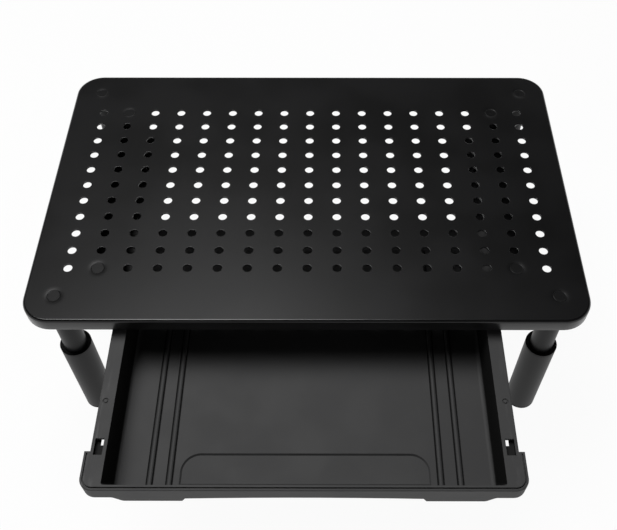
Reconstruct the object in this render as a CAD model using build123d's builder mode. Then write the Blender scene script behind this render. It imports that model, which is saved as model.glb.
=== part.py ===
from build123d import *
import os

# Perforated monitor stand with a pull-out drawer and four two-part legs.
# Origin: on the desk, under the middle of the platform. +Z up, the drawer opens towards -Y.
# It stands at its tallest setting, with the drawer pulled out. All sizes are in mm.

# Platform: one pressed steel sheet with a turned-down rim
platform_length = 370.0
platform_depth = 235.0
sheet = 1.2
rim_height = 10.0
bend_radius = 3.0
plan_corner_radius = 19.0

# Vent holes, in a grid about the middle of the platform
vent_diameter = 6.0
vent_pitch_x = 20.0
vent_pitch_y = 15.0
vent_margin_x = 25.0
vent_margin_y = 42.5
vent_land = 1.5
grid_slack = 0.001

# Clinch studs, with their heads let into the sheet
stud_head_diameter = 9.0
stud_fit = 0.05
stud_head_chamfer = 0.3
leg_thread_diameter = 6.0
leg_thread_length = 11.0
rail_thread_diameter = 4.0
rail_thread_length = 6.5
nut_across_flats = 7.0
nut_height = 3.2

# Legs: an inner tube fixed to the platform and a sleeve that slides on it
leg_inset = 20.0
tube_diameter = 16.0
tube_wall = 1.2
sleeve_gap = 1.8
sleeve_wall = 1.2
slide_play = 0.15
press_play = 0.05
stage_step = 20.0
stage_count = 3
collar_headroom = 18.0
collar_flange = 2.0
collar_grip = 9.5
button_drop = 16.0
button_to_tube_end = 8.0
guide_flange = 4.0
guide_insert = 2.5
guide_bore = 8.0
plug_length = 12.0
foot_clearance = 1.5
foot_insert = 7.5
foot_wall = 1.6
foot_flange_top = 5.0
foot_flange_bottom = 1.2
foot_bevel = 1.4
pad_from_edge = 2.0
pad_recess = 1.0
pad_play = 0.1
pad_bevel = 0.4

# Snap clip: a bent strip of spring steel with a round button
button_diameter = 6.0
button_hole_play = 0.3
button_proud = 1.5
button_dome = 1.2
clip_strip = 0.7
clip_width = 7.0
clip_height = 31.0
clip_leg_straight = 10.0
clip_bend = 2.5
clip_play = 0.05
clip_lift = 0.5

# Rails: folded sheet troughs, hung under the platform by an ear at each rail stud
rail_leg_gap = 4.0
tab_inset = 21.2
rail_stud_offset = 11.2
rail_end_margin = 9.0
rail_bend = 0.5
rail_stud_play = 0.25
ledge_front_cut = 4.0
ledge_rear_cut = 12.0
tab_width = 10.0
tab_reach = 4.3
tab_count = 3
stop_reach = 7.3
tab_pitch = 58.0
tab_slit = 0.5

# Drawer: one moulded tray that hangs by its side rims
drawer_open = 106.5
drawer_more = 25.0
drawer_rear_room = 35.0
drawer_gap = 4.0
drawer_side_play = 0.6
drawer_rest_play = 0.2
drawer_top_play = 0.5
drawer_stop_play = 0.3
drawer_rim_width = 9.5
drawer_rim = 2.0
drawer_rear_rim = 4.0
drawer_front_rim = 3.5
drawer_wall = 2.0
drawer_floor = 2.2
tray_depth = 25.0
tray_corner = 1.5
tray_corner_growth = 3.0
tray_side_lean = 1.2
tray_front_lean = 7.0
tray_floor_round = 3.0
rim_rear_corner = 5.0
ledge_side_play = 0.8

# Wings: the wider front of the rim, which covers the ends of the rails
wing_length = 24.5
wing_overhang = 3.5
wing_corner = 8.0
fascia_wall = 2.0
fascia_height = 10.6
tab_drop = 5.4
arch_drop = 1.6
grip_width = 37.0
grip_from_side = 23.5
grip_inner_run = 2.0
grip_outer_run = 5.5
grip_round = 3.0
groove_inset = 1.4
groove_width = 0.8
groove_depth = 1.0
front_edge_round = 0.7

# Floor of the tray: raised ribs and a shallow recess for pens
ribs_from_side = [34.5, 22.5]
rib_width = 3.6
rib_height = 1.2
recess_from_side = 40.5
recess_back = 34.0
recess_depth = 1.0
recess_corner = 12.0
recess_slope = 45.0

# Latch windows in the side rims, each over a tongue, and the round marks behind them
window_length = 10.5
window_width = 5.3
window_margin = 2.0
window_front = 22.0
tongue_play = 0.5
tongue_thick = 1.4
tongue_slot_length = 2.8
tongue_slot_width = 3.0
tongue_root = 2.0
tongue_side_lap = 1.6
tongue_end_lap = 2.4
mark_from_front = 57.5
mark_from_edge = 4.0
mark_outer_diameter = 3.7
mark_inner_diameter = 2.1
mark_depth = 0.6
nub_length = 4.0
nub_width = 3.3
nub_height = 1.3
nub_margin = 1.0

# Heights above the desk, from the foot up
stage_travel = stage_step * (stage_count - 1)
foot_top = foot_flange_top + foot_insert
guide_bottom = foot_top + foot_clearance + stage_travel
tube_bottom = guide_bottom + guide_flange
button_z = tube_bottom + button_to_tube_end
collar_top = button_z + button_drop
platform_top = collar_top + collar_headroom + stage_travel
panel_under = platform_top - sheet
rim_bottom = platform_top - rim_height

# Legs in plan
leg_x = platform_length / 2 - leg_inset
leg_y = platform_depth / 2 - leg_inset
legs = {
    "front_left": (-leg_x, -leg_y),
    "front_right": (leg_x, -leg_y),
    "rear_left": (-leg_x, leg_y),
    "rear_right": (leg_x, leg_y),
}
tube_radius = tube_diameter / 2
tube_bore = tube_radius - tube_wall
sleeve_bore = tube_radius + sleeve_gap
sleeve_radius = sleeve_bore + sleeve_wall
pad_radius = sleeve_radius - pad_from_edge

# Rails and drawer in plan, worked inwards from the legs
rail_outer = leg_x - sleeve_radius - rail_leg_gap
web_inner = rail_outer - sheet
tab_outer = rail_outer - tab_inset
tab_inner = tab_outer - sheet
rail_stud_x = tab_outer + rail_stud_offset
rail_stud_y = platform_depth / 2 - vent_margin_y
rim_half = tab_inner - drawer_side_play
tray_half = rim_half - drawer_rim_width
wing_half = rim_half + wing_overhang
drawer_depth = platform_depth - drawer_rear_room
drawer_front = -platform_depth / 2 - drawer_open
drawer_rear = drawer_front + drawer_depth
wing_rear = drawer_front + wing_length

# Drawer and rail heights
rim_top = rim_bottom - drawer_gap
rim_under = rim_top - drawer_rim
floor_top = rim_top - tray_depth
tray_under = floor_top - drawer_floor
ledge_top = rim_under - drawer_rest_play
ledge_inner = tray_half + drawer_wall + ledge_side_play
hold_down_z = rim_top + drawer_top_play
rail_front = wing_rear + drawer_open + drawer_stop_play
rail_rear = rail_stud_y + rail_end_margin

# Stud places and the vents that clear them
leg_stud_points = list(legs.values())
rail_stud_points = [(x, y) for x in (-rail_stud_x, rail_stud_x) for y in (-rail_stud_y, rail_stud_y)]
stud_points = leg_stud_points + rail_stud_points
vents_to_side = int((platform_length / 2 - vent_margin_x + grid_slack) / vent_pitch_x)
vents_to_back = int((platform_depth / 2 - vent_margin_y + grid_slack) / vent_pitch_y)
stud_clear = stud_head_diameter / 2 + vent_diameter / 2 + vent_land
grid_points = [
    (column * vent_pitch_x, row * vent_pitch_y)
    for column in range(-vents_to_side, vents_to_side + 1)
    for row in range(-vents_to_back, vents_to_back + 1)
]
vent_points = [
    (x, y)
    for x, y in grid_points
    if all(max(abs(x - stud_x), abs(y - stud_y)) > stud_clear for stud_x, stud_y in stud_points)
]

os.makedirs("parts", exist_ok=True)

# Platform: a shallow pan, pierced by the vents and by the seats of the stud heads
with BuildPart() as top_panel:
    with BuildSketch(Plane.XY.offset(platform_top)):
        RectangleRounded(platform_length, platform_depth, plan_corner_radius)
    extrude(amount=-rim_height)
    fillet(top_panel.faces().sort_by(Axis.Z)[-1].edges(), bend_radius)
    offset(amount=-sheet, openings=top_panel.faces().sort_by(Axis.Z)[0])
    with BuildSketch(Plane.XY.offset(platform_top)):
        with Locations(vent_points):
            Circle(vent_diameter / 2)
        with Locations(stud_points):
            Circle(stud_head_diameter / 2 + stud_fit)
    extrude(amount=-sheet, mode=Mode.SUBTRACT)
top_panel.part.label = "top_panel"
export_step(top_panel.part, "parts/top_panel.step")

# Clinch studs: a flush head with a bevelled edge and a threaded shank below it
stud_kinds = {
    "leg_studs": (leg_stud_points, leg_thread_diameter, leg_thread_length),
    "rail_studs": (rail_stud_points, rail_thread_diameter, rail_thread_length),
}
for name, (points, thread_diameter, thread_length) in stud_kinds.items():
    with BuildPart() as studs:
        with BuildSketch(Plane.XY.offset(panel_under)):
            with Locations(points):
                Circle(stud_head_diameter / 2)
        extrude(amount=sheet)
        chamfer(studs.faces().group_by(Axis.Z)[-1].edges(), stud_head_chamfer)
        with BuildSketch(Plane.XY.offset(panel_under)):
            with Locations(points):
                Circle(thread_diameter / 2)
        extrude(amount=-thread_length)
    studs.part.label = name
    export_step(studs.part, f"parts/{name}.step")

# Nuts that clamp the rail flanges up against the platform
with BuildPart() as rail_nuts:
    with BuildSketch(Plane.XY.offset(panel_under - sheet)):
        with Locations(rail_stud_points):
            RegularPolygon(nut_across_flats / 2, 6, major_radius=False)
            Circle(rail_thread_diameter / 2 + press_play, mode=Mode.SUBTRACT)
    extrude(amount=-nut_height)
rail_nuts.part.label = "rail_nuts"
export_step(rail_nuts.part, "parts/rail_nuts.step")

# The strip of each clip stands where a chord of its width fits in the tube's bore
clip_reach = (tube_bore**2 - (clip_width / 2) ** 2) ** 0.5 - clip_play
clip_bottom = tube_bottom + guide_insert + clip_lift

# Legs, one set of pieces at each corner
for corner, (x, y) in legs.items():
    # Inner tube, butted against the underside of the platform
    with BuildPart() as leg_tube:
        with BuildSketch(Plane((x, y, tube_bottom))):
            Circle(tube_radius)
            Circle(tube_bore, mode=Mode.SUBTRACT)
        extrude(amount=panel_under - tube_bottom)
        with BuildSketch(Plane((x, y, button_z), z_dir=(0, 1, 0))):
            Circle(button_diameter / 2 + button_hole_play)
        extrude(amount=tube_diameter, mode=Mode.SUBTRACT)
    leg_tube.part.label = f"leg_tube_{corner}"
    export_step(leg_tube.part, f"parts/leg_tube_{corner}.step")

    # Threaded plug pressed into the top of the tube
    with BuildPart() as tube_plug:
        with BuildSketch(Plane((x, y, panel_under))):
            Circle(tube_bore - press_play)
            Circle(leg_thread_diameter / 2 + press_play, mode=Mode.SUBTRACT)
        extrude(amount=-plug_length)
    tube_plug.part.label = f"tube_plug_{corner}"
    export_step(tube_plug.part, f"parts/tube_plug_{corner}.step")

    # Guide pressed into the bottom of the tube, running in the sleeve's bore
    with BuildPart() as tube_guide:
        with BuildSketch(Plane((x, y, guide_bottom))):
            Circle(sleeve_bore - slide_play)
        extrude(amount=guide_flange)
        with BuildSketch(Plane((x, y, tube_bottom))):
            Circle(tube_bore - press_play)
        extrude(amount=guide_insert)
        with BuildSketch(Plane((x, y, guide_bottom))):
            Circle(guide_bore / 2)
        extrude(amount=guide_flange + guide_insert, mode=Mode.SUBTRACT)
    tube_guide.part.label = f"tube_guide_{corner}"
    export_step(tube_guide.part, f"parts/tube_guide_{corner}.step")

    # Snap clip: a strip bent to a narrow V, its button out through tube and sleeve at the rear
    with BuildPart() as snap_clip:
        with BuildSketch(Plane((x, y, clip_bottom), x_dir=(0, 1, 0), z_dir=(1, 0, 0))):
            with BuildLine():
                FilletPolyline(
                    (-clip_reach, 0),
                    (-clip_bend, clip_height),
                    (clip_bend, clip_height),
                    (clip_reach, clip_leg_straight),
                    (clip_reach, 0),
                    radius=clip_bend / 2,
                )
                offset(amount=clip_strip, side=Side.RIGHT)
            make_face()
        extrude(amount=clip_width / 2, both=True)
        with BuildSketch(Plane((x, y + clip_reach, button_z), z_dir=(0, 1, 0))):
            Circle(button_diameter / 2)
        extrude(amount=sleeve_radius + button_proud - clip_reach)
        fillet(snap_clip.faces().sort_by(Axis.Y)[-1].edges(), button_dome)
    snap_clip.part.label = f"snap_clip_{corner}"
    export_step(snap_clip.part, f"parts/snap_clip_{corner}.step")

    # Sleeve, with one lock hole for each height
    with BuildPart() as leg_sleeve:
        with BuildSketch(Plane((x, y, foot_flange_top))):
            Circle(sleeve_radius)
            Circle(sleeve_bore, mode=Mode.SUBTRACT)
        extrude(amount=collar_top - collar_flange - foot_flange_top)
        for stage in range(stage_count):
            with BuildSketch(Plane((x, y, button_z - stage * stage_step), z_dir=(0, 1, 0))):
                Circle(button_diameter / 2 + button_hole_play)
            extrude(amount=2 * sleeve_radius, mode=Mode.SUBTRACT)
    leg_sleeve.part.label = f"leg_sleeve_{corner}"
    export_step(leg_sleeve.part, f"parts/leg_sleeve_{corner}.step")

    # Collar pressed into the top of the sleeve, guiding the tube
    with BuildPart() as sleeve_collar:
        with BuildSketch(Plane((x, y, collar_top))):
            Circle(sleeve_radius)
        extrude(amount=-collar_flange)
        with BuildSketch(Plane((x, y, collar_top - collar_flange))):
            Circle(sleeve_bore - press_play)
        extrude(amount=-collar_grip)
        with BuildSketch(Plane((x, y, collar_top))):
            Circle(tube_radius + slide_play)
        extrude(amount=-collar_flange - collar_grip, mode=Mode.SUBTRACT)
    sleeve_collar.part.label = f"sleeve_collar_{corner}"
    export_step(sleeve_collar.part, f"parts/sleeve_collar_{corner}.step")

    # Foot cap: a bevelled flange under the sleeve and a cup pressed up into it
    with BuildPart() as foot_cap:
        with BuildSketch(Plane((x, y, foot_flange_bottom))):
            Circle(sleeve_radius)
        extrude(amount=foot_flange_top - foot_flange_bottom)
        chamfer(foot_cap.faces().sort_by(Axis.Z)[0].edges(), foot_bevel)
        with BuildSketch(Plane((x, y, foot_flange_top))):
            Circle(sleeve_bore - press_play)
            Circle(sleeve_bore - press_play - foot_wall, mode=Mode.SUBTRACT)
        extrude(amount=foot_insert)
        with BuildSketch(Plane((x, y, foot_flange_bottom))):
            Circle(pad_radius + pad_play)
        extrude(amount=pad_recess, mode=Mode.SUBTRACT)
    foot_cap.part.label = f"foot_cap_{corner}"
    export_step(foot_cap.part, f"parts/foot_cap_{corner}.step")

    # Rubber pad, seated in the cap's recess
    with BuildPart() as foot_pad:
        with BuildSketch(Plane((x, y, 0))):
            Circle(pad_radius)
        extrude(amount=foot_flange_bottom + pad_recess)
        chamfer(foot_pad.faces().sort_by(Axis.Z)[0].edges(), pad_bevel)
    foot_pad.part.label = f"foot_pad_{corner}"
    export_step(foot_pad.part, f"parts/foot_pad_{corner}.step")

# Rails: a floor that carries the drawer rim, an outer wall and ears turned in under the platform
stop_tab_y = rail_front + ledge_front_cut + tab_width / 2
ear_inner = rail_stud_x - rail_end_margin
ear_gap = 2 * (rail_stud_y - rail_end_margin)
front_ear_y = -rail_stud_y - rail_end_margin
tab_rise = hold_down_z - ledge_top
with BuildPart() as rail_right:
    with BuildSketch(Plane.XZ.offset(-rail_rear)):
        with BuildLine():
            FilletPolyline(
                (ledge_inner, ledge_top),
                (web_inner, ledge_top),
                (web_inner, panel_under - sheet),
                (ear_inner, panel_under - sheet),
                radius=rail_bend,
            )
            offset(amount=sheet, side=Side.RIGHT)
        make_face()
    extrude(amount=rail_rear - rail_front)
    # Between the ears the wall stops short of the platform
    with BuildSketch(Plane.XY.offset(panel_under)):
        with Locations((rail_outer, 0)):
            Rectangle(rail_outer - ear_inner, ear_gap, align=(Align.MAX, Align.CENTER))
        with Locations((rail_outer, rail_front)):
            Rectangle(rail_outer - ear_inner, front_ear_y - rail_front, align=(Align.MAX, Align.MIN))
    extrude(amount=-sheet - rail_bend, mode=Mode.SUBTRACT)
    # Under the drawer rim the floor stops short of both ends
    with BuildSketch(Plane.XY.offset(ledge_top)):
        with Locations((tab_inner, rail_front)):
            Rectangle(tab_inner - ledge_inner, ledge_front_cut, align=(Align.MAX, Align.MIN))
        with Locations((tab_inner, rail_rear)):
            Rectangle(tab_inner - ledge_inner, ledge_rear_cut, align=(Align.MAX, Align.MAX))
    extrude(amount=-sheet, mode=Mode.SUBTRACT)
    # Tabs lanced up from the floor hold the rim down; the first reaches further in and stops it
    for place in range(tab_count):
        tab_y = stop_tab_y + place * tab_pitch
        reach = stop_reach if place == 0 else tab_reach
        with BuildSketch(Plane.XY.offset(ledge_top)):
            with Locations((tab_outer, tab_y)):
                Rectangle(tab_rise + reach, tab_width + 2 * tab_slit, align=(Align.MIN, Align.CENTER))
        extrude(amount=-sheet, mode=Mode.SUBTRACT)
        with BuildSketch(Plane.XZ.offset(-tab_y)):
            with BuildLine():
                FilletPolyline(
                    (tab_inner, ledge_top - sheet),
                    (tab_inner, hold_down_z),
                    (tab_inner - reach, hold_down_z),
                    radius=rail_bend,
                )
                offset(amount=sheet, side=Side.RIGHT)
            make_face()
        extrude(amount=tab_width / 2, both=True)
    with BuildSketch(Plane.XY.offset(panel_under)):
        with Locations((rail_stud_x, -rail_stud_y), (rail_stud_x, rail_stud_y)):
            Circle(rail_thread_diameter / 2 + rail_stud_play)
    extrude(amount=-sheet, mode=Mode.SUBTRACT)
rail_right.part.label = "rail_right"
export_step(rail_right.part, "parts/rail_right.step")

with BuildPart() as rail_left:
    mirror(rail_right.part, about=Plane.YZ)
rail_left.part.label = "rail_left"
export_step(rail_left.part, "parts/rail_left.step")


def tray_section(height, lean, grow):
    """Level outline of the tray's bowl: lean is 0 at the rim and 1 at the floor."""
    front = drawer_front + drawer_front_rim + tray_front_lean * lean - grow
    rear = drawer_rear - drawer_rear_rim - tray_side_lean * lean + grow
    half = tray_half - tray_side_lean * lean + grow
    corner_radius = tray_corner + tray_corner_growth * lean + grow
    with BuildSketch(Plane((0, (front + rear) / 2, height))) as section:
        RectangleRounded(2 * half, rear - front, corner_radius)
    return section.sketch


# Drawer: rim plate with wings, leaning bowl, front lip with grip tabs, ribs, recess and latches
grip_outer = wing_half - grip_from_side
grip_inner = grip_outer - grip_width
fascia_end_z = rim_top - fascia_height
fascia_tab_z = fascia_end_z - tab_drop
arch_end_z = fascia_end_z - arch_drop
tongue_top = ledge_top - sheet - tongue_play
window_outer = rim_half - window_margin
window_inner = window_outer - window_width
window_front_y = drawer_front + window_front
window_back_y = window_front_y + window_length
tongue_inner = tray_half + drawer_wall / 2 - tray_side_lean / 2
tongue_outer = window_outer + tongue_side_lap
nub_front_y = stop_tab_y + tab_width / 2 + drawer_more + drawer_stop_play
nub_outer = tab_inner - tab_reach - nub_margin
cavity_front = drawer_front + drawer_front_rim + tray_front_lean
cavity_rear = drawer_rear - drawer_rear_rim - tray_side_lean
rib_places = [sign * (tray_half - inset) for sign in (-1, 1) for inset in ribs_from_side]
with BuildPart() as drawer_tray:
    with BuildSketch(Plane.XY.offset(rim_top)) as rim_plan:
        with Locations((0, drawer_front)):
            Rectangle(2 * rim_half, drawer_depth, align=(Align.CENTER, Align.MIN))
            Rectangle(2 * wing_half, wing_length, align=(Align.CENTER, Align.MIN))
        fillet(rim_plan.vertices().group_by(Axis.Y)[0], wing_corner)
        fillet(rim_plan.vertices().group_by(Axis.Y)[-1], rim_rear_corner)
    extrude(amount=-drawer_rim)
    fillet(drawer_tray.faces().sort_by(Axis.Z)[-1].edges(), front_edge_round)

    # Front lip and side skirts, following the wings' outline
    with BuildSketch(Plane.XY.offset(rim_under)) as skirt_plan:
        with Locations((0, drawer_front)):
            Rectangle(2 * wing_half, wing_length, align=(Align.CENTER, Align.MIN))
        fillet(skirt_plan.vertices().group_by(Axis.Y)[0], wing_corner)
        with Locations((0, drawer_front + fascia_wall)):
            RectangleRounded(
                2 * (wing_half - fascia_wall),
                2 * wing_length,
                wing_corner - fascia_wall,
                align=(Align.CENTER, Align.MIN),
                mode=Mode.SUBTRACT,
            )
    extrude(amount=fascia_tab_z - rim_under)
    with BuildSketch(Plane.XZ.offset(-wing_rear)):
        with BuildLine():
            for sign in (-1, 1):
                FilletPolyline(
                    (sign * wing_half, fascia_end_z),
                    (sign * (grip_outer + grip_outer_run), fascia_end_z),
                    (sign * grip_outer, fascia_tab_z),
                    (sign * (grip_inner + grip_inner_run), fascia_tab_z),
                    (sign * grip_inner, arch_end_z),
                    radius=[grip_round, grip_round, grip_inner_run / 2],
                )
            ThreePointArc((-grip_inner, arch_end_z), (0, fascia_end_z), (grip_inner, arch_end_z))
            Polyline(
                (-wing_half, fascia_end_z),
                (-wing_half, fascia_tab_z - drawer_rim),
                (wing_half, fascia_tab_z - drawer_rim),
                (wing_half, fascia_end_z),
            )
        make_face()
    extrude(amount=wing_length, mode=Mode.SUBTRACT)

    # Bowl, rounded under its floor and then hollowed
    loft([tray_section(rim_under, 0, drawer_wall), tray_section(tray_under, 1, drawer_wall)])
    fillet(drawer_tray.faces().sort_by(Axis.Z)[0].edges(), tray_floor_round + drawer_wall)
    loft([tray_section(rim_top, 0, 0), tray_section(floor_top, 1, 0)], mode=Mode.SUBTRACT)
    fillet(drawer_tray.edges().filter_by_position(Axis.Z, floor_top, floor_top), tray_floor_round)

    # Fine groove that sets the lip off from the rim
    with BuildSketch(Plane.XY.offset(rim_top)):
        with BuildLine():
            FilletPolyline(
                (groove_inset - wing_half, wing_rear - groove_inset),
                (groove_inset - wing_half, drawer_front + groove_inset),
                (wing_half - groove_inset, drawer_front + groove_inset),
                (wing_half - groove_inset, wing_rear - groove_inset),
                radius=wing_corner - groove_inset,
            )
            offset(amount=groove_width, side=Side.LEFT)
        make_face()
    extrude(amount=-groove_depth, mode=Mode.SUBTRACT)

    # Half-round ribs along the floor
    with BuildSketch(Plane.XZ.offset(-cavity_rear)):
        for x in rib_places:
            with BuildLine():
                ThreePointArc(
                    (x - rib_width / 2, floor_top),
                    (x, floor_top + rib_height),
                    (x + rib_width / 2, floor_top),
                )
                Line((x + rib_width / 2, floor_top), (x - rib_width / 2, floor_top))
            make_face()
    extrude(amount=cavity_rear - cavity_front)

    # Pen recess with sloping sides, open towards the front wall
    recess_half = tray_half - recess_from_side
    recess_front_y = cavity_front + tray_floor_round
    recess_back_y = drawer_front + recess_back
    with BuildSketch(Plane.XY.offset(floor_top)) as recess_plan:
        with Locations((0, recess_front_y)):
            Rectangle(2 * recess_half, recess_back_y - recess_front_y, align=(Align.CENTER, Align.MIN))
        fillet(recess_plan.vertices().group_by(Axis.Y)[-1], recess_corner)
    extrude(amount=-recess_depth, taper=recess_slope, mode=Mode.SUBTRACT)

    # Latch windows with their tongues, stop nubs and round marks, on both side rims
    for sign in (-1, 1):
        outward = Align.MAX if sign > 0 else Align.MIN
        with BuildSketch(Plane.XY.offset(rim_top)):
            with Locations((sign * window_outer, window_front_y)):
                Rectangle(window_width, window_length, align=(outward, Align.MIN))
        extrude(amount=-drawer_rim, mode=Mode.SUBTRACT)
        with BuildSketch(Plane.XY.offset(tongue_top)):
            with BuildLine():
                Polyline(
                    (sign * tongue_inner, window_front_y - tongue_root),
                    (sign * tongue_outer, window_front_y - tongue_root),
                    (sign * tongue_outer, window_back_y + tongue_end_lap),
                    (sign * (window_inner + tongue_slot_width), window_back_y + tongue_end_lap),
                    (sign * (window_inner + tongue_slot_width), window_back_y - tongue_slot_length),
                    (sign * tongue_inner, window_back_y - tongue_slot_length),
                    close=True,
                )
            make_face()
        extrude(amount=-tongue_thick)
        with BuildSketch(Plane.XY.offset(tongue_top)):
            with Locations((sign * (tongue_inner + tongue_outer) / 2, window_front_y - tongue_root / 2)):
                Rectangle(tongue_outer - tongue_inner, tongue_root)
        extrude(amount=rim_under - tongue_top)
        with BuildSketch(Plane.XY.offset(rim_top)):
            with Locations((sign * (nub_outer - nub_width / 2), nub_front_y + nub_length / 2)):
                Rectangle(nub_width, nub_length)
        extrude(amount=nub_height)
        with BuildSketch(Plane.XY.offset(rim_top)):
            with Locations((sign * (rim_half - mark_from_edge), drawer_front + mark_from_front)):
                Circle(mark_outer_diameter / 2)
                Circle(mark_inner_diameter / 2, mode=Mode.SUBTRACT)
        extrude(amount=-mark_depth, mode=Mode.SUBTRACT)
drawer_tray.part.label = "drawer_tray"
export_step(drawer_tray.part, "parts/drawer_tray.step")
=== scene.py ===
import math

import bmesh
import bpy
from mathutils import Matrix, Vector


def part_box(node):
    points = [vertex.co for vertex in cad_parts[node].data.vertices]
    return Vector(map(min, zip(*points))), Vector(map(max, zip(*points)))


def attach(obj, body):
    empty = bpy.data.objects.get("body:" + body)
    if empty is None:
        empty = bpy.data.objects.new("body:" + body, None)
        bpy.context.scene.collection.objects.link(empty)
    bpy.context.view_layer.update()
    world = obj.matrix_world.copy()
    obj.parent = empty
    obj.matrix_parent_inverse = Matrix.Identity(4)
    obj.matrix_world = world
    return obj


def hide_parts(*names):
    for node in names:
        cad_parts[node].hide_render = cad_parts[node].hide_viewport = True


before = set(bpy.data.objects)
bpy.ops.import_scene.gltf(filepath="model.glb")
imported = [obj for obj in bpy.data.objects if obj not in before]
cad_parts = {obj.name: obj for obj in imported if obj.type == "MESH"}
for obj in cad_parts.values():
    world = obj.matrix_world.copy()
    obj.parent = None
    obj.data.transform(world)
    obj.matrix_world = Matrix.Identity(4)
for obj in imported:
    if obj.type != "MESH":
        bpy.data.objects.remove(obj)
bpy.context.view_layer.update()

# Platform: one pressed steel sheet, its rim folded down with a small bend radius, pierced by a
# grid of round vents and by the seats of eight clinch studs. It is powder coated in satin black,
# which softens every cut edge.


class Shade:
    """A shader socket that is added, subtracted and multiplied like a number."""

    def __init__(self, shading, socket):
        self.shading = shading
        self.socket = socket

    def __add__(self, other):
        return self.shading.math("ADD", self, other)

    def __radd__(self, other):
        return self.shading.math("ADD", other, self)

    def __sub__(self, other):
        return self.shading.math("SUBTRACT", self, other)

    def __rsub__(self, other):
        return self.shading.math("SUBTRACT", other, self)

    def __mul__(self, other):
        return self.shading.math("MULTIPLY", self, other)

    def __rmul__(self, other):
        return self.shading.math("MULTIPLY", other, self)

    def __pow__(self, other):
        return self.shading.math("POWER", self, other)

    def __abs__(self):
        return self.shading.math("ABSOLUTE", self)

    def larger(self, other):
        """The larger of the two."""
        return self.shading.math("MAXIMUM", self, other)


class Shading:
    """A tree of shader nodes. node() adds any node and returns one of its outputs."""

    def __init__(self, tree):
        self.tree = tree

    def feed(self, socket, value):
        if isinstance(value, Shade):
            self.tree.links.new(value.socket, socket)
        else:
            socket.default_value = value

    def node(self, kind, settings=None, values=None, output=0):
        made = self.tree.nodes.new(kind)
        for name, value in (settings or {}).items():
            setattr(made, name, value)
        for name, value in (values or {}).items():
            self.feed(made.inputs[name], value)
        return Shade(self, made.outputs[output])

    def math(self, operation, first, second=0.0):
        return self.node("ShaderNodeMath", {"operation": operation}, {0: first, 1: second})

    def spread(self, value, low, high):
        """The value between low and high, stretched to run smoothly from 0 to 1."""
        return self.node(
            "ShaderNodeMapRange", {"interpolation_type": "SMOOTHSTEP"}, {0: value, 1: low, 2: high}
        )

    def show(self, shader):
        """Makes that shader the one that is seen."""
        end = next(node for node in self.tree.nodes if node.type.startswith("OUTPUT"))
        self.feed(end.inputs["Surface"], shader)


class Coat(Shading):
    """One finish, on one piece or on several."""

    def __init__(self, name, roughness):
        self.material = bpy.data.materials.new(name)
        self.material.use_nodes = True
        super().__init__(self.material.node_tree)
        self.shader = self.tree.nodes["Principled BSDF"]
        self.surface = Shade(self, self.shader.outputs[0])
        self.place = self.node("ShaderNodeTexCoord", output="Object")
        apart = self.node("ShaderNodeSeparateXYZ", values={0: self.place}).socket.node
        self.x, self.y, self.z = [Shade(self, socket) for socket in apart.outputs]
        self.set(Roughness=roughness)

    def set(self, **inputs):
        for name, value in inputs.items():
            self.feed(self.shader.inputs[name.replace("_", " ")], value)

    def noise(self, grain, detail=2.0, roughness=0.5):
        """Noise about 0.5, with grains of that size in metres."""
        return self.node(
            "ShaderNodeTexNoise",
            values={"Vector": self.place, "Scale": 1 / grain, "Detail": detail, "Roughness": roughness},
        )

    def blend(self, amount, first, second):
        """A colour between two others."""
        return self.node(
            "ShaderNodeMix", {"data_type": "RGBA"}, {0: amount, 6: first, 7: second}, output=2
        )

    def distance(self, spread_x, spread_y):
        """The distance, in plan, to the nearest of the four places at plus and minus that spread."""
        return ((abs(self.x) - spread_x) ** 2.0 + (abs(self.y) - spread_y) ** 2.0) ** 0.5

    def bump(self, height, depth=1.0, normal=None):
        """A relief whose height, times depth, is in metres. It is laid over a normal, if one is given."""
        values = {"Distance": depth, "Height": height}
        if normal:
            values["Normal"] = normal
        self.set(Normal=self.node("ShaderNodeBump", values=values))


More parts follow.
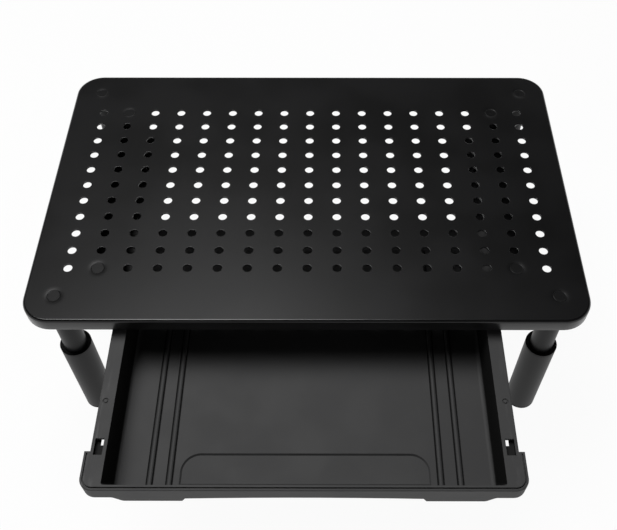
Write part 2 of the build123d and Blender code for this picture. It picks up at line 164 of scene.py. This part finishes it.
class Recipe:
    """A Geometry Nodes tree with named inputs for its sizes."""

    def __init__(self, name, sizes):
        self.tree = bpy.data.node_groups.new(name, "GeometryNodeTree")
        self.tree.interface.new_socket("Geometry", in_out="OUTPUT", socket_type="NodeSocketGeometry")
        kinds = {float: "NodeSocketFloat", int: "NodeSocketInt", bpy.types.Object: "NodeSocketObject"}
        self.identifiers = {}
        for label, value in sizes.items():
            socket = self.tree.interface.new_socket(label, in_out="INPUT", socket_type=kinds[type(value)])
            self.identifiers[label] = (socket.identifier, value)
        self.sizes = self.tree.nodes.new("NodeGroupInput")

    def size(self, label):
        return self.sizes.outputs[label]

    def node(self, kind, settings=None, values=None, output=0):
        made = self.tree.nodes.new(kind)
        for name, value in (settings or {}).items():
            setattr(made, name, value)
        for name, value in (values or {}).items():
            for item in value if isinstance(value, list) else [value]:
                if isinstance(item, bpy.types.NodeSocket):
                    self.tree.links.new(item, made.inputs[name])
                else:
                    made.inputs[name].default_value = item
        return made.outputs[output]

    def math(self, operation, first, second=0.0):
        return self.node("ShaderNodeMath", {"operation": operation}, {0: first, 1: second})

    def raised(self, geometry, height):
        up = self.node("ShaderNodeCombineXYZ", values={"Z": height})
        return self.node("GeometryNodeTransform", values={"Geometry": geometry, "Translation": up})

    def merged(self, geometry):
        """The shape with its doubled points welded."""
        return self.node(
            "GeometryNodeMergeByDistance", values={"Geometry": geometry, "Distance": weld_distance}
        )

    def on_points(self, points, instance):
        """The shape, standing on every point, as real geometry."""
        placed = self.node("GeometryNodeInstanceOnPoints", values={"Points": points, "Instance": instance})
        return self.node("GeometryNodeRealizeInstances", values={"Geometry": placed})

    def joined(self, shapes):
        """Several shapes as one, in their order: the last link of a join comes first in it."""
        return self.node("GeometryNodeJoinGeometry", values={"Geometry": shapes[::-1]})

    def ring(self, radius, segments):
        return self.node(
            "GeometryNodeCurvePrimitiveCircle", values={"Resolution": segments, "Radius": radius}
        )

    def swept(self, path, outline):
        """An outline swept along level curves."""
        upright = self.node("GeometryNodeSetCurveNormal", {"mode": "Z_UP"}, {"Curve": path})
        profile = self.node(
            "GeometryNodeObjectInfo", values={"Object": self.size(outline)}, output="Geometry"
        )
        return self.node(
            "GeometryNodeCurveToMesh", values={"Curve": upright, "Profile Curve": profile, "Fill Caps": False}
        )

    def four_places(self, spread_x, spread_y):
        """The four places at plus and minus that spread."""
        return self.node(
            "GeometryNodeMeshGrid",
            values={
                "Size X": self.math("MULTIPLY", self.size(spread_x), 2.0),
                "Size Y": self.math("MULTIPLY", self.size(spread_y), 2.0),
                "Vertices X": 2,
                "Vertices Y": 2,
            },
        )

    def build(self, name, shape, material):
        """The tree's result as a plain mesh object, welded and with its faces pointing outwards."""
        real = self.node("GeometryNodeRealizeInstances", values={"Geometry": self.merged(shape)})
        coated = self.node("GeometryNodeSetMaterial", values={"Geometry": real, "Material": material})
        end = self.tree.nodes.new("NodeGroupOutput")
        self.tree.links.new(coated, end.inputs[0])
        piece = bpy.data.objects.new(name, bpy.data.meshes.new(name))
        bpy.context.scene.collection.objects.link(piece)
        modifier = piece.modifiers.new(name, "NODES")
        modifier.node_group = self.tree
        for identifier, value in self.identifiers.values():
            modifier[identifier] = value
        evaluated = piece.evaluated_get(bpy.context.evaluated_depsgraph_get())
        mesh = bpy.data.meshes.new_from_object(evaluated)
        piece.modifiers.remove(modifier)
        mesh.materials.clear()
        mesh.materials.append(material)
        piece.data = mesh
        outward(mesh)
        return piece


def outward(mesh):
    """Turns a closed mesh's faces outwards."""
    shape = bmesh.new()
    shape.from_mesh(mesh)
    bmesh.ops.recalc_face_normals(shape, faces=shape.faces)
    shape.to_mesh(mesh)
    shape.free()


def soften(mesh, level_faces, crease):
    """Smooth shading that keeps creases, and keeps level faces level right up to their rounded edges."""
    mesh.polygons.foreach_set("use_smooth", [True] * len(mesh.polygons))
    mesh.set_sharp_from_angle(angle=crease)
    normals = [vertex.normal.copy() for vertex in mesh.vertices]
    for vertex in mesh.vertices:
        for height, direction in level_faces:
            if abs(vertex.co.z - height) < weld_distance:
                normals[vertex.index] = Vector((0, 0, direction))
    mesh.normals_split_custom_set_from_vertices(normals)


def arc(centre_x, centre_y, radius, start, end, steps):
    """Points of an arc, angles in degrees."""
    turns = [math.radians(start + (end - start) * step / steps) for step in range(steps + 1)]
    return [(centre_x + radius * math.cos(turn), centre_y + radius * math.sin(turn)) for turn in turns]


def section(name, points):
    """An open outline for sweeping: its x runs outwards and its y downwards from a level curve."""
    curve = bpy.data.curves.new(name, "CURVE")
    curve.dimensions = "3D"
    spline = curve.splines.new("POLY")
    spline.points.add(len(points) - 1)
    for point, (x, y) in zip(spline.points, points):
        point.co = (x, y, 0, 1)
    return bpy.data.objects.new(name, curve)


weld_distance = 2e-6
platform_low, platform_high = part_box("top_panel")
platform_top = platform_high.z
sheet = 0.0012
rim_height = platform_top - platform_low.z
bend_radius = 0.002
bend_steps = 8
plan_corner = 0.019
corner_steps = 11
coat_round = 0.0004
coat_steps = 3
vent_radius = 0.003
vent_round = 0.00035
vent_segments = 20
vent_land = 0.0015
stud_head_radius = 0.0045
stud_seat_round = 0.0001
stud_seat_segments = 40
stud_fit = 0.00002
hole_steps = 2
rail_stud_spread = [0.140, 0.075]
leg_stud_spread = [0.165, 0.0975]
platform_crease = math.radians(50)

black_coat_colour = (0.0022, 0.0022, 0.0023, 1)
faded_coat_colour = (0.0038, 0.0038, 0.0041, 1)
coat_shine = 0.18
peel_grain = 0.0013
peel_height = 0.000012
platform_roughness = 0.36
stud_dimple_reach = 0.0088
stud_dimple_depth = 0.00023
bend_start, bend_full = 0.000003, 0.00003
bend_fade, bend_end = 0.0010, 0.0025
bend_gloss = 0.16
edge_flow = 0.35
edge_flow_roughness = 0.22


def powder_coat(name, roughness):
    """Satin black powder coat with its fine orange peel. Returns the coat and the peel's height in metres."""
    coat = Coat(name, roughness)
    coat.set(Specular_IOR_Level=coat_shine)
    drift = coat.spread(coat.noise(grain=0.05), 0.35, 0.65)
    speck = coat.spread(coat.noise(grain=0.0004, detail=1.0), 0.62, 0.75)
    coat.rough = roughness + 0.03 * drift + 0.08 * speck
    coat.set(Base_Color=coat.blend(drift, black_coat_colour, faded_coat_colour), Roughness=coat.rough)
    return coat, peel_height * coat.noise(grain=peel_grain, detail=3.0)


powder, peel = powder_coat("powder_coat", platform_roughness)


def dimple(spread):
    """The sheet drawn down round a stud: from 0 at the dimple's edge, ever steeper, to 1 at the head."""
    inwards = (stud_dimple_reach - powder.distance(*spread)) * (1 / (stud_dimple_reach - stud_head_radius))
    return inwards.larger(0.0) ** 3.0


on_bend = powder.spread(powder.z, platform_top - bend_start, platform_top - bend_full)
off_bend = powder.spread(powder.z, platform_top - bend_fade, platform_top - bend_end)
powder.set(
    Roughness=powder.rough - bend_gloss * (on_bend * (1 - off_bend)),
    Coat_Weight=edge_flow * on_bend,
    Coat_Roughness=edge_flow_roughness,
)
powder.bump(peel - stud_dimple_depth * (dimple(rail_stud_spread) + dimple(leg_stud_spread)))

inner_bend_radius = bend_radius - sheet
coat_centre = rim_height - coat_round
rim_section = section(
    "rim_section",
    arc(0, bend_radius, bend_radius, -90, 0, bend_steps)
    + arc(bend_radius - coat_round, coat_centre, coat_round, 0, 90, coat_steps)
    + arc(inner_bend_radius + coat_round, coat_centre, coat_round, 90, 180, coat_steps)
    + arc(0, bend_radius, inner_bend_radius, 0, -90, bend_steps),
)


def hole_section(name, rounding):
    """Half of a hole's wall: rounded in at the top, straight, and rounded out again underneath."""
    top = arc(0, rounding, rounding, -90, -180, hole_steps)
    bottom = arc(0, sheet - rounding, rounding, 180, 90, hole_steps)
    return section(name, top + bottom)


pan = Recipe(
    "perforated_platform",
    {
        "Flat Length": platform_high.x - platform_low.x - 2 * bend_radius,
        "Flat Depth": platform_high.y - platform_low.y - 2 * bend_radius,
        "Flat Corner": plan_corner - bend_radius,
        "Top": platform_top,
        "Sheet": sheet,
        "Vent Mouth": vent_radius + vent_round,
        "Vent Pitch X": 0.020,
        "Vent Pitch Y": 0.015,
        "Vent Columns": 17,
        "Vent Rows": 11,
        "Stud Clearance": stud_head_radius + vent_radius + vent_land,
        "Seat Mouth": stud_head_radius + stud_fit + stud_seat_round,
        "Rail Stud X": rail_stud_spread[0],
        "Rail Stud Y": rail_stud_spread[1],
        "Leg Stud X": leg_stud_spread[0],
        "Leg Stud Y": leg_stud_spread[1],
        "Rim Section": rim_section,
        "Vent Section": hole_section("vent_section", vent_round),
        "Seat Section": hole_section("seat_section", stud_seat_round),
    },
)


def row_length(pitch, count):
    """How long a row of that many vents is."""
    return pan.math("MULTIPLY", pan.size(pitch), pan.math("SUBTRACT", pan.size(count), 1.0))


grid = pan.node(
    "GeometryNodeMeshGrid",
    values={
        "Size X": row_length("Vent Pitch X", "Vent Columns"),
        "Size Y": row_length("Vent Pitch Y", "Vent Rows"),
        "Vertices X": pan.size("Vent Columns"),
        "Vertices Y": pan.size("Vent Rows"),
    },
)
vent_place = pan.node("ShaderNodeSeparateXYZ", values={0: pan.node("GeometryNodeInputPosition")}).node
near_stud = []
for axis, stud_place in enumerate(["Rail Stud X", "Rail Stud Y"]):
    from_middle = pan.math("ABSOLUTE", vent_place.outputs[axis])
    from_stud = pan.math("ABSOLUTE", pan.math("SUBTRACT", from_middle, pan.size(stud_place)))
    near_stud.append(pan.math("LESS_THAN", from_stud, pan.size("Stud Clearance")))
vent_points = pan.node(
    "GeometryNodeDeleteGeometry",
    {"domain": "POINT"},
    {"Geometry": grid, "Selection": pan.math("MULTIPLY", *near_stud)},
)
vents = pan.on_points(vent_points, pan.ring(pan.size("Vent Mouth"), vent_segments))
seat_points = pan.joined(
    [pan.four_places("Rail Stud X", "Rail Stud Y"), pan.four_places("Leg Stud X", "Leg Stud Y")]
)
seats = pan.on_points(seat_points, pan.ring(pan.size("Seat Mouth"), stud_seat_segments))
flat_outline = pan.node(
    "GeometryNodeCurvePrimitiveQuadrilateral",
    values={"Width": pan.size("Flat Length"), "Height": pan.size("Flat Depth")},
)
edge = pan.node(
    "GeometryNodeFilletCurve",
    {"mode": "POLY"},
    {"Curve": flat_outline, "Count": corner_steps, "Radius": pan.size("Flat Corner"), "Limit Radius": True},
)
skin = pan.node("GeometryNodeFillCurve", {"mode": "TRIANGLES"}, {"Curve": pan.joined([edge, vents, seats])})
underside = pan.raised(skin, pan.math("MULTIPLY", pan.size("Sheet"), -1.0))
pressed = pan.joined(
    [
        skin,
        underside,
        pan.swept(edge, "Rim Section"),
        pan.swept(vents, "Vent Section"),
        pan.swept(seats, "Seat Section"),
    ]
)
platform = pan.build("platform_sheet", pan.raised(pressed, pan.size("Top")), powder.material)
soften(platform.data, [(platform_top, 1), (platform_top - sheet, -1)], platform_crease)
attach(platform, "stand_frame")
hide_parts("top_panel")

# Clinch studs: turned steel with a flat head, pressed up through the sheet until the head lies
# flush, and coated over with the platform. A threaded shank stands down from each head.
stud_kinds = [
    ("leg_studs", leg_stud_spread, 0.003, 0.011, 0.001),
    ("rail_studs", rail_stud_spread, 0.002, 0.0065, 0.0007),
]
thread_segments = 20
shank_segments = 32
thread_depth = 0.55
thread_half_width = 0.42
thread_root_sink = 0.0001
head_edge_round = 0.0001
head_edge_steps = 3
head_ring_radius = 0.0042
head_ring_width = 0.00035
head_ring_height = 0.00012
stud_crease = math.radians(40)
stud_coat, stud_peel = powder_coat("powder_coat_studs", platform_roughness)
head_rings = [
    stud_coat.spread(abs(stud_coat.distance(*spread) - head_ring_radius), head_ring_width, 0)
    for spread in (rail_stud_spread, leg_stud_spread)
]
stud_coat.bump(stud_peel + head_ring_height * (head_rings[0] + head_rings[1]))
for kind, spread, thread_radius, thread_length, thread_pitch in stud_kinds:
    core_radius = thread_radius - thread_depth * thread_pitch
    point_bevel = thread_pitch / 2
    thread_half = thread_half_width * thread_pitch
    head_run = stud_head_radius - head_edge_round - core_radius
    head_edge = arc(head_run, head_edge_round, head_edge_round, -90, 0, head_edge_steps)
    shank_outline = section(
        kind + "_outline",
        [(-core_radius, 0)]
        + head_edge
        + [(stud_head_radius - core_radius, sheet), (0, sheet)]
        + [(0, sheet + thread_length - point_bevel), (-point_bevel, sheet + thread_length)]
        + [(-core_radius, sheet + thread_length)],
    )
    thread_outline = section(
        kind + "_thread",
        [(-thread_root_sink, -thread_half), (thread_radius - core_radius, 0)]
        + [(-thread_root_sink, thread_half)],
    )
    stud = Recipe(
        kind + "_recipe",
        {
            "Spread X": spread[0],
            "Spread Y": spread[1],
            "Top": platform_top,
            "Core Radius": core_radius,
            "Thread Start": platform_top - sheet - thread_length + thread_pitch,
            "Thread Rise": thread_length - 2 * thread_pitch,
            "Thread Turns": thread_length / thread_pitch - 2,
            "Shank Outline": shank_outline,
            "Thread Outline": thread_outline,
        },
    )
    helix = stud.node(
        "GeometryNodeCurveSpiral",
        values={
            "Resolution": thread_segments,
            "Rotations": stud.size("Thread Turns"),
            "Start Radius": stud.size("Core Radius"),
            "End Radius": stud.size("Core Radius"),
            "Height": stud.size("Thread Rise"),
        },
    )
    shank = stud.swept(stud.ring(stud.size("Core Radius"), shank_segments), "Shank Outline")
    thread = stud.swept(helix, "Thread Outline")
    one_stud = stud.joined(
        [stud.raised(shank, stud.size("Top")), stud.raised(thread, stud.size("Thread Start"))]
    )
    four_studs = stud.on_points(stud.four_places("Spread X", "Spread Y"), one_stud)
    studs = stud.build(kind + "_turned", four_studs, stud_coat.material)
    soften(studs.data, [(platform_top, 1)], stud_crease)
    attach(studs, "stand_frame")
    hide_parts(kind)

# Rail nuts: plain hexagon nuts of zinc-plated steel, their corners turned off at 30 degrees on
# both faces, run up the shanks of the rail studs against the ears of the rails.
nut_low, nut_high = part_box("rail_nuts")
nut_height = nut_high.z - nut_low.z
nut_flats = 0.007
nut_corner = nut_flats / math.sqrt(3)
nut_bore = 0.00205
nut_bore_segments = 24
nut_turned_segments = 36
nut_chamfer = 0.00045
nut_taper = 0.0004
nut_crease = math.radians(25)
nut_turn = math.radians(30)
bright_zinc_colour = (0.62, 0.63, 0.64, 1)
dull_zinc_colour = (0.44, 0.46, 0.49, 1)
zinc = Coat("zinc_plate", roughness=0.32)
zinc_tarnish = zinc.spread(zinc.noise(grain=0.004, detail=4.0), 0.35, 0.7)
zinc.set(
    Metallic=1.0,
    Base_Color=zinc.blend(zinc_tarnish, bright_zinc_colour, dull_zinc_colour),
    Roughness=0.28 + 0.14 * zinc_tarnish,
)
zinc.bump(zinc.noise(grain=0.0005), depth=0.00001)
nut_outline = section(
    "nut_outline",
    [(-nut_bore, -nut_height / 2), (nut_corner - nut_taper - nut_bore, -nut_height / 2)]
    + [(nut_corner + nut_taper - nut_bore, nut_chamfer - nut_height / 2)]
    + [(nut_corner + nut_taper - nut_bore, nut_height / 2 - nut_chamfer)]
    + [(nut_corner - nut_taper - nut_bore, nut_height / 2), (-nut_bore, nut_height / 2)],
)
nut = Recipe(
    "hexagon_nuts",
    {
        "Spread X": rail_stud_spread[0],
        "Spread Y": rail_stud_spread[1],
        "Middle": (nut_low.z + nut_high.z) / 2,
        "Height": nut_height,
        "Corner Radius": nut_corner,
        "Bore Radius": nut_bore,
        "Turned Outline": nut_outline,
    },
)


def rod(sides, radius, length):
    """A rod about the nut's axis, with that many sides."""
    return nut.node("GeometryNodeMeshCylinder", values={"Vertices": sides, "Radius": radius, "Depth": length})


hexagon = rod(6, nut.size("Corner Radius"), nut.size("Height"))
bore = rod(nut_bore_segments, nut.size("Bore Radius"), nut.math("MULTIPLY", nut.size("Height"), 2.0))
turned_blank = nut.merged(nut.swept(nut.ring(nut.size("Bore Radius"), nut_turned_segments), "Turned Outline"))
blank = nut.node("GeometryNodeMeshBoolean", {"operation": "INTERSECT"}, {"Mesh 2": [hexagon, turned_blank]})
bored = nut.node("GeometryNodeMeshBoolean", {"operation": "DIFFERENCE"}, {"Mesh 1": blank, "Mesh 2": bore})
one_nut = nut.node("GeometryNodeTransform", values={"Geometry": bored, "Rotation": (0, 0, nut_turn)})
four_nuts = nut.on_points(nut.four_places("Spread X", "Spread Y"), one_nut)
nuts = nut.build("hexagon_rail_nuts", nut.raised(four_nuts, nut.size("Middle")), zinc.material)
soften(nuts.data, [], nut_crease)
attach(nuts, "stand_frame")
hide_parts("rail_nuts")

# Rails: troughs folded from sheet steel and coated black, with three tabs lanced up from each
# floor. The drawer rim polishes the floors and the tabs where it slides along them.


def coat_nodes(names, coat):
    """Gives CAD pieces whose shape is right their finish."""
    for name in names:
        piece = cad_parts[name]
        piece.data.materials.clear()
        piece.data.materials.append(coat.material)


def streaks(coat, stretch, scale, detail=2.0):
    """Noise drawn out along the axes that are stretched the least."""
    drawn_out = coat.node("ShaderNodeMapping", values={"Vector": coat.place, "Scale": stretch})
    return coat.node("ShaderNodeTexNoise", values={"Vector": drawn_out, "Scale": scale, "Detail": detail})


rail_roughness = 0.38
rail_polish = 0.14
polished_coat_colour = (0.016, 0.016, 0.017, 1)
rail_floor_top = 0.1238
rim_reach = 0.1265
rim_clear = 0.1295
rail_coat, rail_peel = powder_coat("rail_coat", rail_roughness)
on_rail_floor = rail_coat.spread(abs(rail_coat.z - rail_floor_top), 0.0006, 0.0001)
slid_over = on_rail_floor * rail_coat.spread(abs(rail_coat.x), rim_clear, rim_reach)
rubbed = slid_over * rail_coat.spread(streaks(rail_coat, (9, 1, 9), scale=90), 0.42, 0.62)
rail_coat.set(
    Base_Color=rail_coat.blend(rubbed, black_coat_colour, polished_coat_colour),
    Roughness=rail_roughness - rail_polish * rubbed,
)
rail_coat.bump(rail_peel)
coat_nodes(["rail_left", "rail_right"], rail_coat)

# Legs: drawn steel tubes and sleeves in the same satin black. Each sleeve has a moulded collar at
# its top and a bevelled cap with a rubber pad underneath. A zinc-plated plug, a sliding guide and
# a bent spring clip with its button are pushed into each tube.
corners = ["front_left", "front_right", "rear_left", "rear_right"]


def each_corner(kind):
    return [f"{kind}_{corner}" for corner in corners]


draw_line_height = 0.000003
for slot, kind, roughness in [("tube_coat", "leg_tube", 0.40), ("sleeve_coat", "leg_sleeve", 0.44)]:
    drawn, drawn_peel = powder_coat(slot, roughness)
    drawn.bump(drawn_peel + draw_line_height * streaks(drawn, (40, 40, 1), scale=30))
    coat_nodes(each_corner(kind), drawn)


def moulded_plastic(name, colour, pale_colour, roughness, grain, depth):
    """Plastic that is paler in patches. Returns the plastic and the height of its mould's fine grain."""
    plastic = Coat(name, roughness)
    patches = plastic.spread(plastic.noise(grain=0.030, detail=3.0), 0.35, 0.68)
    plastic.rough = roughness + 0.05 * patches
    plastic.set(Base_Color=plastic.blend(patches, colour, pale_colour), Roughness=plastic.rough)
    return plastic, depth * plastic.noise(grain=grain, detail=2.0, roughness=0.7)


collar, collar_grain = moulded_plastic(
    "collar_plastic", (0.0022, 0.0022, 0.0023, 1), (0.0032, 0.0032, 0.0034, 1), 0.50, 0.0003, 0.000006
)
collar.set(Specular_IOR_Level=0.16)
collar.bump(collar_grain)
coat_nodes(each_corner("sleeve_collar") + each_corner("foot_cap"), collar)

guide, guide_grain = moulded_plastic(
    "guide_plastic", (0.50, 0.49, 0.46, 1), (0.56, 0.55, 0.52, 1), 0.45, 0.0004, 0.000006
)
guide.bump(guide_grain)
coat_nodes(each_corner("tube_guide"), guide)

coat_nodes(each_corner("tube_plug"), zinc)

dark_spring_colour = (0.40, 0.40, 0.41, 1)
bright_spring_colour = (0.56, 0.55, 0.53, 1)
spring = Coat("spring_steel", roughness=0.30)
drawn_grain = streaks(spring, (30, 30, 1), scale=40, detail=4.0)
spring.set(
    Metallic=1.0,
    Base_Color=spring.blend(drawn_grain, dark_spring_colour, bright_spring_colour),
    Roughness=0.24 + 0.16 * drawn_grain,
)
spring.bump(drawn_grain, depth=0.000008)
coat_nodes(each_corner("snap_clip"), spring)

clean_rubber_colour = (0.011, 0.011, 0.011, 1)
dusty_rubber_colour = (0.026, 0.025, 0.024, 1)
tread_pitch = 0.0018
tread_height = 0.0003
rubber_grain_height = 0.00003
rubber = Coat("pad_rubber", roughness=0.78)
tread = abs(rubber.math("SINE", rubber.distance(*leg_stud_spread) * (math.tau / tread_pitch)))
dust = rubber.spread(rubber.noise(grain=0.006, detail=4.0), 0.45, 0.75)
rubber.set(
    Base_Color=rubber.blend(dust, clean_rubber_colour, dusty_rubber_colour), Roughness=0.72 + 0.15 * dust
)
rubber.bump(tread_height * tread + rubber_grain_height * rubber.noise(grain=0.0006))
coat_nodes(each_corner("foot_pad"), rubber)

# Drawer: one black polypropylene moulding with the fine matt grain of its mould. The leaning side
# walls, the feet of the ribs and the latch tongues are mixed towards a darker, matt plastic: a duller
# finish with painted shade in its colour. The rims that ride in the rails are rubbed.
drawer, drawer_grain = moulded_plastic(
    "drawer_plastic", (0.0175, 0.0175, 0.0178, 1), (0.0215, 0.0215, 0.0220, 1), 0.68, 0.00035, 0.000016
)
drawer.set(Specular_IOR_Level=0.62)
# Darker colour painted on the side walls, rib feet and latch tongues: painted shade.
painted_shade_colour = (0.008, 0.008, 0.008, 1)
drawer_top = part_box("drawer_tray")[1].z
tray_floor = drawer_top - 0.0263
rib_middles = [0.083, 0.095]
rib_half = 0.0018
rib_foot_width = 0.0006
rib_foot_depth = 0.0008
mould_edge_round = 0.0004
rim_full, rim_fade = 0.0014, 0.0018
rim_edge_start, rim_edge_full = 0.1215, 0.1235
rim_polish = 0.10
tongue_low, tongue_high = 0.1203, 0.1226
tongue_front, tongue_back = -0.2060, -0.1860
# How far the latch tongues are painted darker: painted shade.
tongue_shade_strength = 0.8
floor_full, floor_fade = 0.0002, 0.0008


def within(value, low, high, fade):
    """1 where the value lies between low and high, 0 beyond them."""
    return drawer.spread(value, low, low + fade) * drawer.spread(value, high, high - fade)


on_rim = drawer.spread(drawer.z, drawer_top - rim_fade, drawer_top - rim_full)
on_rim_edge = on_rim * drawer.spread(abs(drawer.x), rim_edge_start, rim_edge_full)
rim_rub = on_rim_edge * drawer.spread(streaks(drawer, (8, 1, 8), scale=70, detail=3.0), 0.48, 0.70)
drawer.set(Roughness=drawer.rough - rim_polish * rim_rub)
at_tongue_height = within(drawer.z, tongue_low, tongue_high, fade=0.0002)
tongue = at_tongue_height * within(drawer.y, tongue_front, tongue_back, fade=0.001)
sideways_normal = drawer.node(
    "ShaderNodeSeparateXYZ", values={0: drawer.node("ShaderNodeNewGeometry", output="Normal")}
)
side_wall = drawer.spread(abs(sideways_normal), 0.7, 0.95)
on_tray_floor = drawer.spread(drawer.z, tray_floor + floor_fade, tray_floor + floor_full)
rib_feet = [
    drawer.spread(abs(abs(abs(drawer.x) - rib_middle) - rib_half), rib_foot_width, 0)
    for rib_middle in rib_middles
]
# The rib feet: a real groove in the relief, and painted shade in the colour.
rib_foot_groove_and_shade = on_tray_floor * (rib_feet[0] + rib_feet[1])
# A darker, matt plastic mixed in on the side walls, rib feet and latch tongues: painted shade, partly a
# duller finish.
shaded_plastic_paint = drawer.node(
    "ShaderNodeBsdfPrincipled",
    values={"Base Color": painted_shade_colour, "Roughness": 0.9, "Specular IOR Level": 0.05},
)
painted_shade_amount = rib_foot_groove_and_shade.larger((tongue_shade_strength * tongue).larger(side_wall))
drawer.show(drawer.node("ShaderNodeMixShader", values={0: painted_shade_amount, 1: drawer.surface, 2: shaded_plastic_paint}))
rounded_edges = drawer.node("ShaderNodeBevel", {"samples": 4}, {"Radius": mould_edge_round})
drawer.bump(drawer_grain - rib_foot_depth * rib_foot_groove_and_shade, normal=rounded_edges)
coat_nodes(["drawer_tray"], drawer)

# Studio: a white floor and a white sweep round it under a dark ceiling, lit by a wide soft box
# overhead to the left and a low card in front, which doesn't show in the gloss. The camera stands
# where the photograph was taken.
floor_size = 8.0
floor_colour = (0.86, 0.86, 0.86, 1)
floor_glow = 0.95
white_light = {"Color": (1, 1, 1, 1), "Strength": 1.0}
sweep_foot = 0.20
sweep_head = 0.56
ceiling_level = 0.02
fill_level = 0.06


def ray(shading, kind):
    """1 for rays of that kind, 0 for the others."""
    return shading.node("ShaderNodeLightPath", output=f"Is {kind} Ray")


floor_half = floor_size / 2
floor_corners = [(-floor_half, -floor_half, 0), (floor_half, -floor_half, 0)]
floor_corners += [(floor_half, floor_half, 0), (-floor_half, floor_half, 0)]
floor_mesh = bpy.data.meshes.new("floor")
floor_mesh.from_pydata(floor_corners, [], [(0, 1, 2, 3)])
floor = bpy.data.objects.new("floor", floor_mesh)
bpy.context.scene.collection.objects.link(floor)
white = Coat("studio_floor", roughness=1.0)
white.set(Base_Color=floor_colour)
seen_floor = ray(white, "Camera").larger(ray(white, "Glossy")).larger(ray(white, "Transmission"))
glow = white.node("ShaderNodeEmission", values=white_light)
white.show(white.node("ShaderNodeMixShader", values={0: seen_floor * floor_glow, 1: white.surface, 2: glow}))
floor_mesh.materials.append(white.material)

world = bpy.data.worlds.new("studio")
bpy.context.scene.world = world
world.use_nodes = True
sky = Shading(world.node_tree)
looking = sky.node("ShaderNodeTexCoord", output="Generated")
upward = sky.node("ShaderNodeSeparateXYZ", values={0: looking}, output=2)
mirrored = ray(sky, "Glossy") * (1 - (1 - ceiling_level) * sky.spread(upward, sweep_foot, sweep_head))
seen_sky = ray(sky, "Camera").larger(ray(sky, "Transmission")).larger(mirrored)
sky_light = seen_sky.larger(fill_level * ray(sky, "Diffuse"))
sky.show(sky.node("ShaderNodeBackground", values=white_light | {"Strength": sky_light}))


def soft_box(name, place, aim, width, depth, power):
    """A rectangular area lamp at a place, pointed at another."""
    lamp = bpy.data.lights.new(name, "AREA")
    lamp.shape = "RECTANGLE"
    lamp.size = width
    lamp.size_y = depth
    lamp.energy = power
    holder = bpy.data.objects.new(name, lamp)
    holder.rotation_mode = "QUATERNION"
    holder.location = place
    holder.rotation_quaternion = (Vector(aim) - Vector(place)).to_track_quat("-Z", "Y")
    bpy.context.scene.collection.objects.link(holder)
    return holder


soft_box("overhead_box", (-0.27, 0.23, 1.30), (0, -0.05, 0.1), width=0.80, depth=0.57, power=15)
front_card = soft_box("front_card", (-0.1, -1.4, 0.25), (0, -0.2, 0.11), width=1.6, depth=0.25, power=9.5)
front_card.visible_glossy = False

camera_data = bpy.data.cameras.new("camera")
camera_data.sensor_width = 36.0
camera_data.lens = 47.512
camera_data.shift_x = -0.0277
camera_data.shift_y = 0.0217
camera_place = Vector((0.01319, -0.39938, 0.57630))
camera_aim = Vector((0.01227, -0.08341, 0.140))
camera_roll = math.radians(-0.064)
ahead = (camera_aim - camera_place).normalized()
level = ahead.cross(Vector((0, 0, 1))).normalized()
right = math.cos(camera_roll) * level + math.sin(camera_roll) * level.cross(ahead)
turn = Matrix((right, right.cross(ahead), -ahead)).transposed().to_4x4()
camera = bpy.data.objects.new("camera", camera_data)
camera.matrix_world = Matrix.Translation(camera_place) @ turn
bpy.context.scene.collection.objects.link(camera)
bpy.context.scene.camera = camera
bpy.context.scene.view_settings.view_transform = "Standard"
